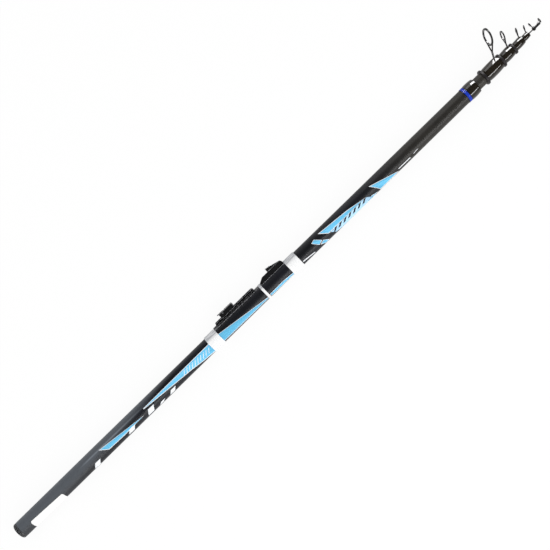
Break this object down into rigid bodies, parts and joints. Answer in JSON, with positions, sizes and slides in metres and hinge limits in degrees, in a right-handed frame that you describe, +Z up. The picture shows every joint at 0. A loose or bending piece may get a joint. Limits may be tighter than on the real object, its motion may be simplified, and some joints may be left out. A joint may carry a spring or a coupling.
{
  "type": "telescopic fishing rod",
  "caption": "Closed telescopic fishing rod with nested tapered sections, leaning line guides and a clip reel seat on a painted butt.",
  "frame": {"origin": "middle of the butt cap's outer face, on the rod's axis", "axes": "+X from the butt to the tip, +Y to the guide side, +Z up with the rod lying on its side"},
  "size_m": [1.0954, 0.0657, 0.0453],
  "materials": {
    "butt_blank": "painted blank, satin over the grip",
    "blank": "clear-coated dark blank",
    "lacquer": "thick dark gloss lacquer over thread",
    "blue_band": "gloss blue",
    "stop_ring": "satin dark grey",
    "binding": "gloss white",
    "seat": "moulded black",
    "cap": "moulded black",
    "rubber": "black rubber",
    "insert": "turned",
    "pin": "bright",
    "guide_frame": "black coated sheet and wire",
    "guide_ring": "polished dark ring"
  },
  "bodies": {
    "butt": {"butt_section": "butt_blank", "butt_collar": "lacquer", "butt_band": "blue_band", "butt_insert": "insert", "seat_plate": "seat", "back_binding": "binding", "waist_binding": "binding", "front_binding": "binding", "fixed_hood": "seat"},
    "butt_cap": {"butt_cap": "cap", "cap_seal": "rubber", "cap_cushion": "rubber"},
    "sliding_hood": {"sliding_hood": "seat", "lever_pin": "pin"},
    "lock_lever": {"lock_lever": "seat"},
    "section_2": {"section_2": "blank", "stop_ring_2": "stop_ring", "wrap_2": "lacquer", "guide_2": "guide_frame", "guide_ring_2": "guide_ring"},
    "section_3": {"section_3": "blank", "stop_ring_3": "stop_ring", "wrap_3": "lacquer", "guide_3": "guide_frame", "guide_ring_3": "guide_ring"},
    "section_4": {"section_4": "blank", "stop_ring_4": "stop_ring", "wrap_4": "lacquer", "guide_4": "guide_frame", "guide_ring_4": "guide_ring"},
    "section_5": {"section_5": "blank", "wrap_5": "lacquer", "guide_5": "guide_frame", "guide_ring_5": "guide_ring"},
    "tip": {"tip_section": "blank", "tip_top_tube": "guide_frame", "tip_top_frame": "guide_frame", "tip_top_ring": "guide_ring"},
    "float_guide": {"float_guide": "guide_frame", "float_ring": "guide_ring"}
  },
  "joints": [
    {"name": "section_2_slide", "type": "slide", "parent": "butt", "child": "section_2", "axis": [1, 0, 0], "range_m": [0, 0.8543]},
    {"name": "section_3_slide", "type": "slide", "parent": "section_2", "child": "section_3", "axis": [1, 0, 0], "range_m": [0, 0.915]},
    {"name": "section_4_slide", "type": "slide", "parent": "section_3", "child": "section_4", "axis": [1, 0, 0], "range_m": [0, 0.9505]},
    {"name": "section_5_slide", "type": "slide", "parent": "section_4", "child": "section_5", "axis": [1, 0, 0], "range_m": [0, 0.983]},
    {"name": "tip_slide", "type": "slide", "parent": "section_5", "child": "tip", "axis": [1, 0, 0], "range_m": [0, 1.0003]},
    {"name": "float_slide", "type": "slide", "parent": "tip", "child": "float_guide", "axis": [1, 0, 0], "range_m": [-0.4, 0]},
    {"name": "hood_slide", "type": "slide", "parent": "butt", "child": "sliding_hood", "axis": [1, 0, 0], "range_m": [-0.01, 0.036]},
    {"name": "lever_hinge", "type": "hinge", "parent": "sliding_hood", "child": "lock_lever", "pos_m": [0.4485, 0.02116, 0], "axis": [0, 0, -1], "range_deg": [0, 70]},
    {"name": "cap_slide", "type": "slide", "parent": "butt", "child": "butt_cap", "axis": [-1, 0, 0], "range_m": [0, 0.03]}
  ],
  "couplings": [
    {"joint": "float_slide", "follows": "tip_slide", "ratio": -0.398}
  ]
}
